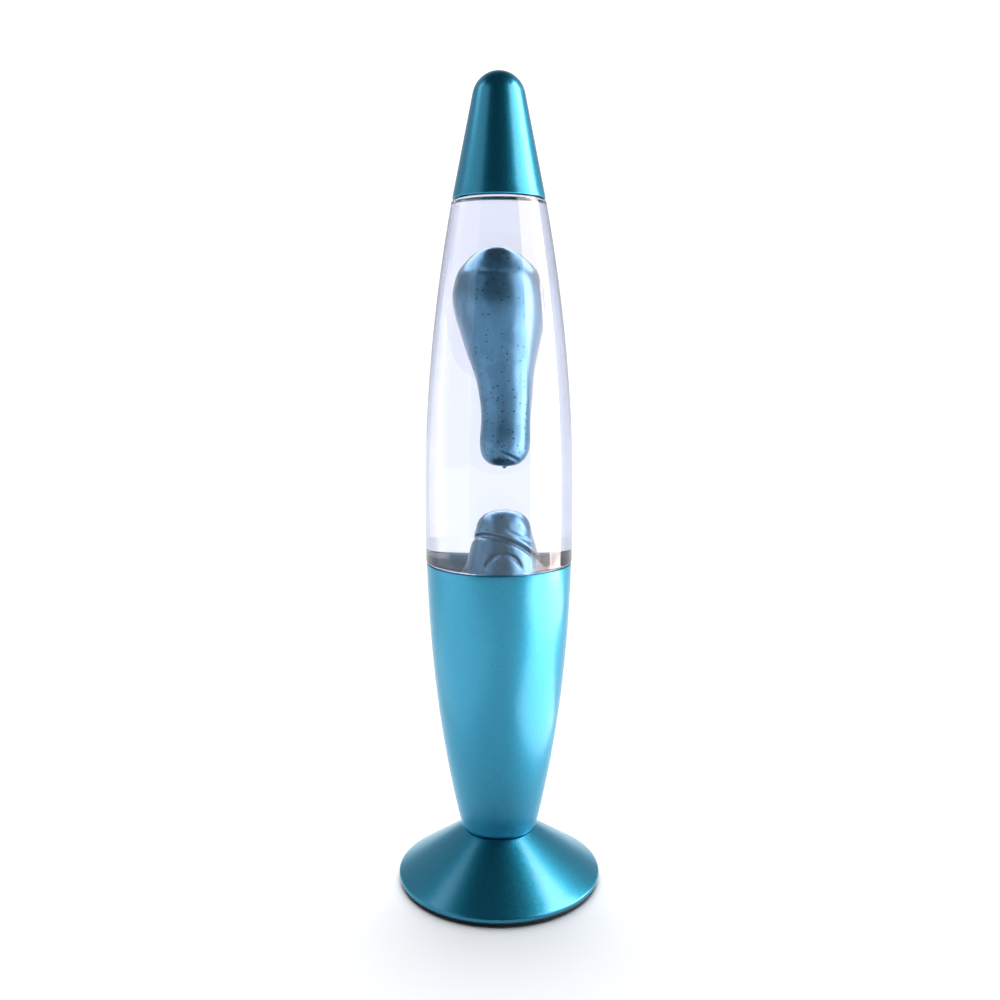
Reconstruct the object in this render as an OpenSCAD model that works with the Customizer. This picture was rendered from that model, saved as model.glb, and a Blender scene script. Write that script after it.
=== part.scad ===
// Lava lamp: a spun aluminium foot, cup and cap around a glass bottle of liquid and wax,
// warmed by a small reflector bulb. Millimetres, +Z up, origin on the table under the axis.

/* [Outline] */
// Full height, table to the tip of the cap
lamp_h = 400; // [396:1:404]
// Radius of the bottle at its widest
belly_r = 36.4; // [35:0.1:38]
// Height of the bottle's widest ring
belly_z = 198.5; // [194:0.5:202]
// Height in which the outline above the belly would shrink to nothing
upper_run = 234.5; // [232:0.5:238]
// How late the outline shrinks above the belly
upper_power = 1.93; // [1.88:0.01:1.98]
// Height in which the outline below the belly would shrink to nothing
lower_run = 233.8; // [230:0.2:238]
// How late the outline shrinks below the belly
lower_power = 2.35; // [2.3:0.01:2.4]

/* [Foot] */
// Radius of the foot's rim
foot_r = 51.8; // [49:0.1:56]
// Height of the foot, where the cup stands on it
foot_h = 27.4; // [26.5:0.1:28.5]
// Height of the rubber ring that the foot stands on
grip_h = 1.5; // [1:0.1:1.6]
// Radius of the rolled rim's rounding
hem_r = 1.2; // [1.1:0.05:1.4]
// Thickness of the spun aluminium sheet
sheet_t = 0.9; // [0.7:0.05:1]
// Height of the cord inlet's axis
inlet_z = 9.4; // [9:0.1:10]
// Radius of the cord inlet's hole
inlet_r = 3.1; // [2.5:0.1:3.5]

/* [Cup] */
// Height of the cup's rim
rim_z = 166.6; // [164:0.2:169]
// Thickness of the cup's floor
floor_t = 1.2; // [1:0.1:1.4]
// Gap between lifting parts
fit_gap = 0.3; // [0.2:0.05:0.5]

/* [Bottle] */
// Height of the bottle's bottom inside the cup
bottle_z = 138.5; // [138:0.5:142]
// Thickness of the bottle's wall
glass_t = 2.2; // [1.8:0.1:2.6]
// Height of the shoulder that carries the cap
shoulder_z = 341.3; // [340:0.1:342]
// Outer radius of the bottle's neck
neck_r = 11.6; // [11:0.1:12]
// Height of the neck's mouth
neck_z = 363.2; // [361:0.2:364]

/* [Cap] */
// Radius of the cap's rim
cap_r = 22.2; // [21.8:0.1:22.4]
// How much the cap narrows for each millimetre of height
cap_taper = 0.2027; // [0.19:0.0001:0.21]

/* [Wax] */
// Height of the liquid's surface
fill_z = 352; // [350:0.5:356]
// Height of the wax pool's edge
pool_z = 154; // [152:0.5:158]
// Sideways place of the floating wax
blob_x = 0.6; // [-2:0.1:2]

/* [Bulb and holder] */
// Radius of the bulb's reflector
bulb_r = 19.5; // [18:0.1:20]
// Length of the bulb from contact to face
bulb_len = 66.5; // [65:0.1:66.5]
// Radius over the bulb's E14 screw
screw_r = 6.95; // [6.9:0.01:7]
// Outer radius of the M10 tube that clamps the foot and the cup
tube_r = 5; // [4.8:0.1:5]
// Radius of the M10 tube's bore
tube_bore = 3.7; // [3.5:0.05:3.9]

/* [Hidden] */
$fn = 96;

paint_colour = [0.13, 0.52, 0.64];
brass_colour = [0.78, 0.62, 0.30];
steel_colour = [0.70, 0.71, 0.73];
wax_colour = [0.36, 0.54, 0.68];

// Foot and base plate
waist_edge = 2;                                  // rounding at the foot's top edge
waist_r = outline_r(foot_h) + 0.5;
hem_z = grip_h + 1.8 * hem_r;
cone_a = atan2(foot_r - waist_r, foot_h - hem_z - waist_edge / 2);
hem_in = foot_r - 6.3;
plate_z = 0.7;
plate_t = 1.6;
plate_top = plate_z + plate_t;
boss_at = 36;
boss_r = 3.2;
boss_turns = [30, 150, 270];
plate_screw_r = 1.25;
plate_screw_top = 9;
slot_w = 0.8;
inlet_lip = 1.1;
inlet_body = inlet_r + 1.85;
inlet_flange = inlet_body + 0.65;
inlet_start = 34;

// Clamp stack: tube, nuts and washers
tube_fit = 0.05;
tube_z = 18;
nut_af = 14;
nut_h = 4;
washer_r = 8.6;
washer_t = 0.8;
upper_washer_z = foot_h + floor_t;
lower_washer_z = foot_h - sheet_t - washer_t;

// Lamp holder, heights above its own lower end
holder_z = upper_washer_z + washer_t + nut_h + 0.2;
tube_top = holder_z + 5.8;
holder_r = 13.4;
holder_thread_r = 11.7;
holder_joint = 12.5;
holder_seat = 18;
insert_t = 4;
insert_tube = 33.5;
holder_top = 36;
contact_r = screw_r + 0.2;
contact_t = 0.45;
terminal_x = 6.5;
leaf_top = 24.3;

// Bulb
bulb_seat = holder_z + leaf_top + 0.15;
bulb_face = bulb_seat + bulb_len;
tip_h = 1.6;
screw_low = bulb_seat + 3.6;
screw_high = bulb_seat + 18.5;
bulb_neck_r = 5.9;
envelope_t = 0.7;
bulb_edge = 5;                                   // rounding where the mirror meets the face
bulb_rim = bulb_face - 8.5;
face_depth = bulb_face - bulb_rim;
face_r = (pow(bulb_r - bulb_edge, 2) - pow(bulb_edge, 2) + pow(face_depth, 2))
    / (2 * (face_depth - bulb_edge));
face_a = atan2(face_r - face_depth, bulb_r - bulb_edge);
filament_z = bulb_seat + 45;
filament_r = 5;

// Terminal block
block_size = [18, 14, 11];
block_y = 15.4;
pole_x = 4.5;
pole_z = plate_top + 5.6;
sleeve_r = 1.9;

// Wires through the tube
lead_r = 1.1;
lead_route = [
    [5.4, 0, 49], [4.6, 0, 46.4], [2.4, 0, 42.6], [1.4, 0, 38], [1.4, 0, 32], [1.4, 0, 26],
    [1.4, 0, 20], [1.5, 1, 15.5], [2.5, 5, 11], [4, 10, 8.4], [4.5, 15, 7.9], [4.5, 19, 7.9]
];

// Bottle, closure and cap
cup_side = sheet_t + fit_gap;                    // the bottle's outline inside the cup
base_round = 6;
shoulder_edge = 2;
register_r = 20.3;
register_h = 2.2;
neck_foot = shoulder_z + 11;
neck_bore = neck_r - 2.3;
closure_low = neck_z - 9.5;
closure_r = neck_r + 1.5;
liner_t = 1;
closure_t = 1;
cap_z = shoulder_z + fit_gap;
cap_a = atan(cap_taper);
dome_r = (cap_r - cap_taper * (lamp_h - cap_z)) / (1 / cos(cap_a) - cap_taper);
lip_r = 0.55;

// Wax outlines, radius and height
blob_knots = [
    [0, 214], [6.6, 217], [9.4, 226], [9.2, 240], [10.6, 256], [13.6, 271], [16.3, 286],
    [16.8, 298], [13.2, 310], [6.4, 317], [0, 318.6]
];
mound_knots = [
    [0, 194], [6, 192.4], [9.6, 187.5], [11, 180], [12.4, 172.5], [16, 164.5], [23, 157.5]
];

// Heat coil
coil_at = 23;
coil_r = 2.2;
coil_wire = 0.45;
coil_turns = 36;
coil_steps = 8;

// ---- Outlines -------------------------------------------------------------------

// The lamp's outer outline, the same curve for cup and glass
function outline_r(z) = z > belly_z
    ? belly_r * (1 - pow((z - belly_z) / upper_run, upper_power))
    : belly_r * (1 - pow((belly_z - z) / lower_run, lower_power));

// The glass above the cup keeps its full width up to the belly
function glass_r(z) = z > belly_z ? outline_r(z) : belly_r;

function smooth_step(u) = let(v = min(1, max(0, u))) v * v * (3 - 2 * v);

// Inside of the bottle: it steps out gently where the outside has its shoulder
function bore_r(z) = let(u = smooth_step((z - rim_z + 4) / 8))
    (1 - u) * (outline_r(z) - cup_side) + u * glass_r(z) - glass_t;

function steps(from, to, n) = [for (i = [0:n]) from + (to - from) * i / n];

function arc(x, y, r, from, to, n = 6) = [for (a = steps(from, to, n)) [x + r * cos(a), y + r * sin(a)]];

// A soft bend between two radii at two heights
function bend(r0, z0, r1, z1, n = 10) = [
    for (u = steps(0, 1, n)) [r0 + (r1 - r0) * (1 - cos(180 * u)) / 2, z0 + (z1 - z0) * u]
];

function backwards(list) = [for (i = [len(list) - 1:-1:0]) list[i]];

// A smooth curve through knots; the first and last sections lean on the given neighbours
function curve_point(a, b, c, d, u) = (2 * b + (c - a) * u + (2 * a - 5 * b + 4 * c - d) * u * u
    + (3 * b - a - 3 * c + d) * u * u * u) / 2;

function through(before, knots, after, n = 4) = let(all = concat([before], knots, [after])) [
    for (k = [1:len(all) - 3], i = [0:n - (k < len(all) - 3 ? 1 : 0)])
        curve_point(all[k - 1], all[k], all[k + 1], all[k + 2], i / n)
];

// The foot's side from its hem to its top, moved inwards by o
function foot_side(o) = concat(
    arc(foot_r - hem_r, grip_h + hem_r, hem_r - o, -90, 0),
    arc(foot_r - hem_r, hem_z, hem_r - o, 0, cone_a),
    arc(waist_r - waist_edge, foot_h - waist_edge, waist_edge - o, cone_a, 90)
);

// Everything inside the foot's side moved inwards by o
module foot_inside(o) {
    rotate_extrude()
        polygon(concat([[0, grip_h + o]], foot_side(o), [[0, foot_h - o]]));
}

// The cap's dome, moved inwards by o; its straight side runs down from the first point
function cap_side(o) = arc(0, lamp_h - dome_r, dome_r - o, cap_a, 90, 14);

// ---- Sweeps ----------------------------------------------------------------------

function unit(v) = v / norm(v);

function direction(path, i) = unit(path[min(i + 1, len(path) - 1)] - path[max(i - 1, 0)]);

// A round wire along a path; across(point) is a direction that the path never takes there
module wire(path, r, sides, across) {
    n = len(path);
    rings = [
        for (i = [0:n - 1])
            let(t = direction(path, i), u = unit(cross(t, across(path[i]))), v = cross(t, u))
            for (k = [0:sides - 1]) path[i] + r * (cos(360 * k / sides) * u + sin(360 * k / sides) * v)
    ];
    walls = [
        for (i = [0:n - 2], k = [0:sides - 1], half = [0, 1])
            let(m = (k + 1) % sides, low = i * sides, high = low + sides)
            half == 0 ? [low + k, low + m, high + m] : [low + k, high + m, high + k]
    ];
    polyhedron(rings, concat(
        walls, [[for (k = [sides - 1:-1:0]) k]], [[for (k = [0:sides - 1]) (n - 1) * sides + k]]
    ), convexity = 6);
}

// ---- Foot ------------------------------------------------------------------------

module at_bosses() {
    for (a = boss_turns) rotate(a) translate([boss_at, 0, 0]) children();
}

// A cylinder along the cord inlet's axis
module along_inlet(r, from = inlet_start, to = foot_r + 5) {
    translate([0, from, inlet_z]) rotate([-90, 0, 0]) cylinder(h = to - from, r = r);
}

module foot() {
    hole = tube_r + tube_fit;
    color(paint_colour) difference() {
        rotate_extrude() polygon(concat(
            [[hem_in, grip_h]], foot_side(0), [[hole, foot_h], [hole, foot_h - sheet_t]],
            backwards(foot_side(sheet_t)), [[hem_in, grip_h + sheet_t]]
        ));
        along_inlet(inlet_body + 0.05);
    }
}

module grip_ring() {
    low = 0.4;
    color([0.05, 0.05, 0.06]) rotate_extrude() polygon([
        [hem_in + 0.3 + low, 0], [foot_r - 0.7 - low, 0], [foot_r - 0.7, low],
        [foot_r - 0.7, grip_h - low], [foot_r - 0.9, grip_h], [hem_in + 0.3, grip_h], [hem_in + 0.3, low]
    ]);
}

module countersink() {
    cylinder(h = plate_t, r1 = 2.9, r2 = 1.35);
}

module base_plate() {
    rib = 1.2;
    color([0.08, 0.08, 0.09]) difference() {
        union() {
            translate([0, 0, plate_z]) cylinder(h = plate_t, r = hem_in - 0.2);
            translate([0, 0, plate_top]) difference() {
                cylinder(h = 2, r = hem_in - 1.5);
                translate([0, 0, -1]) cylinder(h = 5, r = hem_in - 1.5 - rib);
            }
        }
        at_bosses() translate([0, 0, plate_z - 0.01]) cylinder(h = plate_t + 1, r = 1.5);
        at_bosses() translate([0, 0, plate_z]) countersink();
        translate([0, block_y + block_size[1] / 2, 0]) cylinder(h = 10, r = 1.25);
    }
}

module plate_screws() {
    color(steel_colour) at_bosses() difference() {
        union() {
            translate([0, 0, plate_z]) cylinder(h = plate_t - 0.05, r1 = 2.8, r2 = plate_screw_r);
            translate([0, 0, plate_z]) cylinder(h = plate_screw_top - plate_z, r = plate_screw_r);
            translate([0, 0, plate_screw_top]) cylinder(h = 1.4, r1 = plate_screw_r, r2 = 0.3);
        }
        for (a = [0, 90]) rotate(a)
            translate([-1.6, -slot_w / 2, plate_z - 0.1]) cube([3.2, slot_w, 1]);
    }
}

module screw_bosses() {
    color(steel_colour) intersection() {
        at_bosses() difference() {
            translate([0, 0, plate_top]) cylinder(h = foot_h, r = boss_r);
            cylinder(h = plate_screw_top + 2.6, r = plate_screw_r + 0.05);
        }
        foot_inside(sheet_t);
    }
}

module cord_grommet() {
    color([0.06, 0.06, 0.07]) difference() {
        union() {
            intersection() {
                along_inlet(inlet_body);
                foot_inside(-inlet_lip);
                cylinder(h = foot_h, r = foot_r - 0.1);
            }
            intersection() {
                along_inlet(inlet_flange);
                difference() {
                    foot_inside(-inlet_lip);
                    foot_inside(0);
                }
                cylinder(h = foot_h, r = foot_r - 0.1);
            }
            intersection() {
                along_inlet(inlet_flange);
                difference() {
                    foot_inside(sheet_t);
                    foot_inside(sheet_t + inlet_lip);
                }
            }
        }
        along_inlet(inlet_r, inlet_start - 1);
    }
}

// ---- Cup and clamp stack -----------------------------------------------------------

module cup() {
    edge = 2;
    lean = 13;                                   // how far the side leans at the floor
    hole = tube_r + tube_fit;
    low = foot_h + edge;
    high = rim_z - sheet_t / 2;
    outer = [for (z = steps(low, high, 34)) [outline_r(z), z]];
    inner = [for (z = steps(high, low + 1, 34)) [outline_r(z) - sheet_t, z]];
    color(paint_colour) rotate_extrude() polygon(concat(
        [[hole, foot_h]],
        arc(outline_r(low) - edge, low, edge, -90, -lean, 5),
        outer,
        arc(outline_r(high) - sheet_t / 2, high, sheet_t / 2, 30, 150, 4),
        inner,
        [[outline_r(low) - sheet_t - 0.6, foot_h + floor_t], [hole, foot_h + floor_t]]
    ));
}

module threaded_tube() {
    bevel = 0.6;
    color(steel_colour) rotate_extrude() polygon([
        [tube_bore, tube_z], [tube_r - bevel, tube_z], [tube_r, tube_z + bevel],
        [tube_r, tube_top - bevel], [tube_r - bevel, tube_top], [tube_bore, tube_top]
    ]);
}

module hex_nut() {
    color(steel_colour) difference() {
        intersection() {
            cylinder(h = nut_h, r = nut_af / 2 / cos(30), $fn = 6);
            cylinder(h = nut_h, r1 = nut_af / 2 + nut_h - 0.5, r2 = nut_af / 2 + 0.1);
        }
        translate([0, 0, -1]) cylinder(h = nut_h + 2, r = tube_r + tube_fit);
    }
}

module tube_nuts() {
    translate([0, 0, upper_washer_z + washer_t]) hex_nut();
    translate([0, 0, lower_washer_z]) mirror([0, 0, 1]) hex_nut();
}

// A washer whose teeth stop the tube from turning
module lock_washer() {
    teeth = 12;
    color(steel_colour) difference() {
        cylinder(h = washer_t, r = washer_r);
        translate([0, 0, -1]) cylinder(h = washer_t + 2, r = tube_r + tube_fit);
        for (i = [0:teeth - 1]) rotate(360 * i / teeth)
            translate([washer_r + 0.2, 0, -1]) cylinder(h = washer_t + 2, r = 1.2);
    }
}

module lock_washers() {
    translate([0, 0, upper_washer_z]) lock_washer();
    translate([0, 0, lower_washer_z]) lock_washer();
}

// ---- Lamp holder -------------------------------------------------------------------

module holder_base() {
    color([0.10, 0.10, 0.11]) translate([0, 0, holder_z]) rotate_extrude() polygon([
        [tube_r + tube_fit, 0], [7.2, 0], [7.6, 0.4], [7.6, 4], [holder_r - 0.6, 8],
        [holder_r, 8.6], [holder_r, holder_joint], [holder_thread_r, holder_joint],
        [holder_thread_r, holder_seat], [10.2, holder_seat], [10.2, 8.8], [tube_r + tube_fit, 6.8]
    ]);
}

module holder_shell() {
    ribs = 24;
    mouth = 8.5;
    rib_low = holder_joint + 3;
    color([0.10, 0.10, 0.11]) translate([0, 0, holder_z]) difference() {
        rotate_extrude() polygon([
            [holder_thread_r + 0.2, holder_joint + 0.2], [holder_r, holder_joint + 0.2],
            [holder_r, holder_top - 1], [holder_r - 1, holder_top], [mouth, holder_top],
            [mouth, holder_top - 1.6], [holder_thread_r + 0.2, holder_top - 1.6]
        ]);
        for (i = [0:ribs - 1]) rotate(360 * i / ribs)
            translate([holder_r + 0.25, 0, rib_low]) cylinder(h = 12, r = 0.6, $fn = 16);
    }
}

module holder_insert() {
    color([0.93, 0.92, 0.88]) translate([0, 0, holder_z]) difference() {
        rotate_extrude() polygon([
            [0, holder_seat], [holder_thread_r, holder_seat], [holder_thread_r, holder_seat + insert_t],
            [contact_r + contact_t + 2, holder_seat + insert_t], [contact_r + contact_t + 2, insert_tube],
            [contact_r + contact_t + 0.05, insert_tube],
            [contact_r + contact_t + 0.05, holder_seat + insert_t], [0, holder_seat + insert_t]
        ]);
        for (side = [-1, 1]) translate([side * terminal_x, 0, holder_seat - 1])
            cylinder(h = 3.5, r = 1.3);
    }
}

module screw_contact() {
    color(brass_colour) translate([0, 0, holder_z + holder_seat + insert_t + 0.6]) difference() {
        cylinder(h = insert_tube - holder_seat - insert_t - 1, r = contact_r + contact_t);
        translate([0, 0, -1]) cylinder(h = 20, r = contact_r);
    }
}

// The bent brass leaf that presses up against the bulb's contact
module centre_contact() {
    leaf_w = 3;
    leaf_t = 0.4;
    low = holder_seat + insert_t;
    bent = [[-6, low], [-3, low], [-1, leaf_top - leaf_t], [1.5, leaf_top - leaf_t], [2.6, leaf_top - 1]];
    color(brass_colour) translate([0, leaf_w / 2, holder_z]) rotate([90, 0, 0])
        linear_extrude(leaf_w) polygon(concat(bent, [for (p = backwards(bent)) p + [0, leaf_t]]));
}

module holder_terminals() {
    color(brass_colour) for (side = [-1, 1]) translate([side * terminal_x, 0, holder_z]) {
        translate([0, 0, holder_seat]) cylinder(h = 2.4, r = 1.25);
        difference() {
            translate([0, 0, holder_seat - 2]) cylinder(h = 2, r = 2.3);
            translate([-3, -slot_w / 2, holder_seat - 2.1]) cube([6, slot_w, 0.9]);
        }
    }
}

// ---- Wiring ------------------------------------------------------------------------

module lead(side) {
    path = [for (p = lead_route) [side * p[0], p[1], p[2]]];
    smooth = through(2 * path[0] - path[1], path, 2 * path[len(path) - 1] - path[len(path) - 2], 2);
    wire(smooth, lead_r, 8, function(p) [side, 0, 0]);
}

module live_lead() {
    color([0.40, 0.22, 0.12]) lead(1);
}

module neutral_lead() {
    color([0.12, 0.30, 0.62]) lead(-1);
}

module at_poles() {
    for (side = [-1, 1]) translate([side * pole_x, block_y, pole_z]) rotate([-90, 0, 0]) children();
}

module at_pole_screws() {
    for (side = [-1, 1], y = [3.4, 10.6]) translate([side * pole_x, block_y + y, pole_z]) children();
}

module terminal_block() {
    wall = 1.1;
    color([0.90, 0.90, 0.88]) difference() {
        union() {
            translate([-block_size[0] / 2, block_y, plate_top])
                cube([block_size[0], block_size[1], 8.6]);
            at_pole_screws() cylinder(h = block_size[2] - 5.6, r = 2.9);
        }
        at_poles() translate([0, 0, -1]) cylinder(h = 20, r = sleeve_r + 0.7);
        at_pole_screws() cylinder(h = 20, r = 2.9 - wall);
        translate([0, block_y + block_size[1] / 2, 0]) {
            cylinder(h = 30, r = 1.3);
            translate([0, 0, plate_top + 6.6]) cylinder(h = 20, r = 2.2);
        }
    }
}

module terminal_sleeves() {
    color(brass_colour) difference() {
        at_poles() translate([0, 0, 0.6]) cylinder(h = block_size[1] - 1.2, r = sleeve_r + 0.65);
        at_poles() translate([0, 0, -1]) cylinder(h = 20, r = lead_r + 0.1);
        at_pole_screws() cylinder(h = 20, r = 1.15);
    }
}

module terminal_screws() {
    color(steel_colour) at_pole_screws() difference() {
        translate([0, 0, lead_r + 0.15]) cylinder(h = 3.2, r = 1.1);
        translate([-2, -slot_w / 2, lead_r + 2.7]) cube([4, slot_w, 3]);
    }
}

module block_screw() {
    color(steel_colour) translate([0, block_y + block_size[1] / 2, 0]) difference() {
        union() {
            translate([0, 0, plate_z]) cylinder(h = plate_t + 6.6, r = 1.2);
            translate([0, 0, plate_top + 6.6]) cylinder(h = 1.4, r = 2.1);
        }
        translate([-3, -slot_w / 2, plate_top + 7.3]) cube([6, slot_w, 3]);
    }
}

// ---- Bulb --------------------------------------------------------------------------

module bulb_tip() {
    color([0.75, 0.75, 0.76]) translate([0, 0, bulb_seat]) rotate_extrude() polygon(
        concat([[0, 0]], arc(1.2, 1.2, 1.2, -90, 0, 4), [[2.4, tip_h], [0, tip_h]])
    );
}

module bulb_insulator() {
    color([0.07, 0.07, 0.08]) rotate_extrude() polygon([
        [0, bulb_seat + tip_h + 0.05], [2.8, bulb_seat + tip_h + 0.05], [screw_r - 0.95, screw_low],
        [screw_r - 0.95, screw_low + 1.4], [0, screw_low + 1.4]
    ]);
}

// The screw shell, with its thread as rounded rings at the E14 pitch
module bulb_screw_shell() {
    pitch = 2.822;
    rings = 4;
    root_r = screw_r - 0.45;
    wall = 0.5;
    thread = [
        for (i = [0:rings - 1], a = [0:45:315])
            [root_r + (screw_r - root_r) * (1 - cos(a)) / 2, screw_low + 1 + pitch * (i + a / 360)]
    ];
    thread_top = screw_low + 1 + pitch * rings;
    color(steel_colour) rotate_extrude() polygon(concat(
        [[root_r - wall, screw_low], [root_r, screw_low]], thread,
        [[root_r, thread_top], [screw_r, thread_top + 0.8], [screw_r, screw_high],
         [screw_r - wall, screw_high], [screw_r - wall, thread_top + 0.8], [root_r - wall, thread_top - 0.2]]
    ));
}

// Neck, flared mirror and domed face; the neck is open where it is cemented into the screw shell
function envelope(o) = concat(
    [[bulb_neck_r - o, screw_low + 9], [bulb_neck_r - o, screw_high + 2]],
    bend(bulb_neck_r - o, screw_high + 2, bulb_r - o, bulb_rim - 1, 14),
    arc(bulb_r - bulb_edge, bulb_rim, bulb_edge - o, 0, face_a),
    arc(0, bulb_face - face_r, face_r - o, face_a, 90)
);

module bulb_glass() {
    color([0.85, 0.87, 0.90, 0.6]) rotate_extrude()
        polygon(concat(envelope(0), backwards(envelope(envelope_t))));
}

module bulb_stem() {
    color([0.80, 0.88, 0.90, 0.5]) rotate_extrude() polygon([
        [0, screw_low + 9.4], [bulb_neck_r - 0.8, screw_low + 9.4], [bulb_neck_r - 0.8, screw_low + 10.2],
        [2.4, screw_low + 12.5], [1.8, screw_low + 22], [1.2, screw_low + 23.2], [0, screw_low + 23.6]
    ]);
}

// Two nickel wires that hold the filament's ends
module support_wires() {
    bottom = screw_low + 21;
    color(steel_colour) for (side = [-1, 1]) wire(through(
        [side * 0.9, 0, bottom - 2],
        [[side * 0.9, 0, bottom], [side * 1.6, 0, bottom + 4], [side * 3.8, 0, filament_z - 5],
         [side * filament_r, 0, filament_z]],
        [side * (filament_r + 0.5), 0, filament_z + 4], 3
    ), 0.3, 6, function(p) [0, 1, 0]);
}

// A coiled filament bent into an arc
module filament() {
    turns = 26;
    per_turn = 6;
    coil = 0.45;
    rise = 0.55;                                 // how high the arc is for its width
    foot_z = filament_z + 0.5;
    route = [
        for (i = [0:turns * per_turn])
            let(a = 180 * i / (turns * per_turn), w = 360 * i / per_turn,
                out = filament_r + coil * cos(w))
            [out * cos(a), coil * sin(w), foot_z + rise * out * sin(a)]
    ];
    color([0.5, 0.5, 0.52])
        wire(route, 0.12, 4, function(p) [foot_z - p[2], 0, rise * rise * p[0]]);
}

// ---- Bottle and what it holds --------------------------------------------------------

// Inside of the bottle from the middle of its floor up to a height in its straight part
function bore_side(top, n = 40) = concat(
    [[0, bottle_z + glass_t + 3.4], [8, bottle_z + glass_t + 2.9], [16, bottle_z + glass_t + 1.6]],
    arc(bore_r(bottle_z + base_round + 2) - 4, bottle_z + glass_t + 4.6, 4, -90, -4, 6),
    [for (z = steps(bottle_z + base_round + 2, top, n)) [bore_r(z), z]]
);

function bore_neck() = bend(bore_r(shoulder_z - 3.5), shoulder_z - 3, neck_bore, shoulder_z + 9);

module bottle() {
    low = bottle_z + base_round;
    side = outline_r(low) - cup_side;
    step_z = rim_z + fit_gap;
    step_r = 1.2;
    outer = concat(
        [[0, bottle_z + 3], [8, bottle_z + 2.6], [15, bottle_z + 1.4], [19, bottle_z + 0.3]],
        arc(side - base_round, low, base_round, -90, -4, 8),
        [for (z = steps(low, rim_z - 0.4, 10)) [outline_r(z) - cup_side, z]],
        [[outline_r(rim_z) - cup_side, step_z]],
        arc(belly_r - step_r, step_z + step_r, step_r, -80, 0, 6),
        [for (z = steps(belly_z, shoulder_z - shoulder_edge, 40)) [glass_r(z), z]],
        arc(glass_r(shoulder_z - shoulder_edge) - shoulder_edge, shoulder_z - shoulder_edge,
            shoulder_edge, 12, 90, 6),
        [[register_r - 0.2, shoulder_z]],
        bend(register_r - 0.2, shoulder_z + register_h, neck_r, neck_foot),
        [[neck_r, neck_z - 0.5], [neck_r - 0.5, neck_z], [neck_bore, neck_z]]
    );
    color([0.86, 0.88, 0.95, 0.3]) rotate_extrude()
        polygon(concat(outer, backwards(bore_neck()), backwards(bore_side(shoulder_z - 3.5))));
}

module closure() {
    flutes = 30;
    color([0.85, 0.85, 0.86]) difference() {
        rotate_extrude() polygon([
            [neck_r + 0.1, closure_low], [closure_r, closure_low],
            [closure_r, neck_z + liner_t + closure_t - 0.6],
            [closure_r - 0.6, neck_z + liner_t + closure_t], [0, neck_z + liner_t + closure_t],
            [0, neck_z + liner_t], [neck_r + 0.1, neck_z + liner_t]
        ]);
        for (i = [0:flutes - 1]) rotate(360 * i / flutes)
            translate([closure_r + 0.3, 0, closure_low + 2]) cylinder(h = 6.5, r = 0.7, $fn = 16);
    }
}

module closure_liner() {
    color([0.92, 0.92, 0.90]) translate([0, 0, neck_z]) cylinder(h = liner_t, r = neck_r);
}

// The wax that stays on the bottle's floor, risen into a mound in the middle
module wax_pool() {
    mound = through([-mound_knots[1][0], mound_knots[1][1]], mound_knots,
        [bore_r(pool_z), pool_z - 2]);
    color(wax_colour) rotate_extrude() polygon(concat(
        bore_side(pool_z, 6), [[mound_knots[6][0] + 6, pool_z + 0.6]], backwards(mound)
    ));
}

module wax_blob() {
    last = len(blob_knots) - 1;
    color(wax_colour) translate([blob_x, 0, 0]) rotate_extrude() polygon(through(
        [-blob_knots[1][0], blob_knots[1][1]], blob_knots,
        [-blob_knots[last - 1][0], blob_knots[last - 1][1]], 4
    ));
}

// Clear liquid around the wax, up to the neck
module liquid() {
    neck = [for (p = bore_neck()) if (p[1] < fill_z) p];
    color([0.88, 0.90, 0.97, 0.25]) difference() {
        rotate_extrude() polygon(concat(
            bore_side(shoulder_z - 3.5), neck, [[neck_bore, fill_z], [0, fill_z]]
        ));
        wax_pool();
        wax_blob();
    }
}

// A loose spring laid as a ring on the bottle's floor, which spreads the bulb's heat
module heat_coil() {
    coil_z = bottle_z + glass_t + 1.2 + coil_r + coil_wire;
    route = [
        for (i = [0:coil_turns * coil_steps - 2])
            let(w = 360 * i / coil_steps, a = w / coil_turns, out = coil_at + coil_r * cos(w))
            [out * cos(a), out * sin(a), coil_z + coil_r * sin(w)]
    ];
    color(steel_colour) wire(route, coil_wire, 5, function(p) [-p[1], p[0], 0]);
}

// ---- Cap ----------------------------------------------------------------------------

module cap() {
    color(paint_colour) rotate_extrude() polygon(concat(
        arc(cap_r - lip_r, cap_z + lip_r, lip_r, -180, 0, 8), cap_side(0), backwards(cap_side(sheet_t))
    ));
}

foot();
grip_ring();
base_plate();
plate_screws();
screw_bosses();
cord_grommet();
cup();
threaded_tube();
tube_nuts();
lock_washers();
holder_base();
holder_shell();
holder_insert();
screw_contact();
centre_contact();
holder_terminals();
live_lead();
neutral_lead();
terminal_block();
terminal_sleeves();
terminal_screws();
block_screw();
bulb_tip();
bulb_glass();
bulb_screw_shell();
bulb_insulator();
bulb_stem();
support_wires();
filament();
bottle();
closure();
closure_liner();
liquid();
heat_coil();
wax_pool();
wax_blob();
cap();
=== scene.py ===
import math

import bmesh
import bpy
from mathutils import Matrix, Vector, noise


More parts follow.
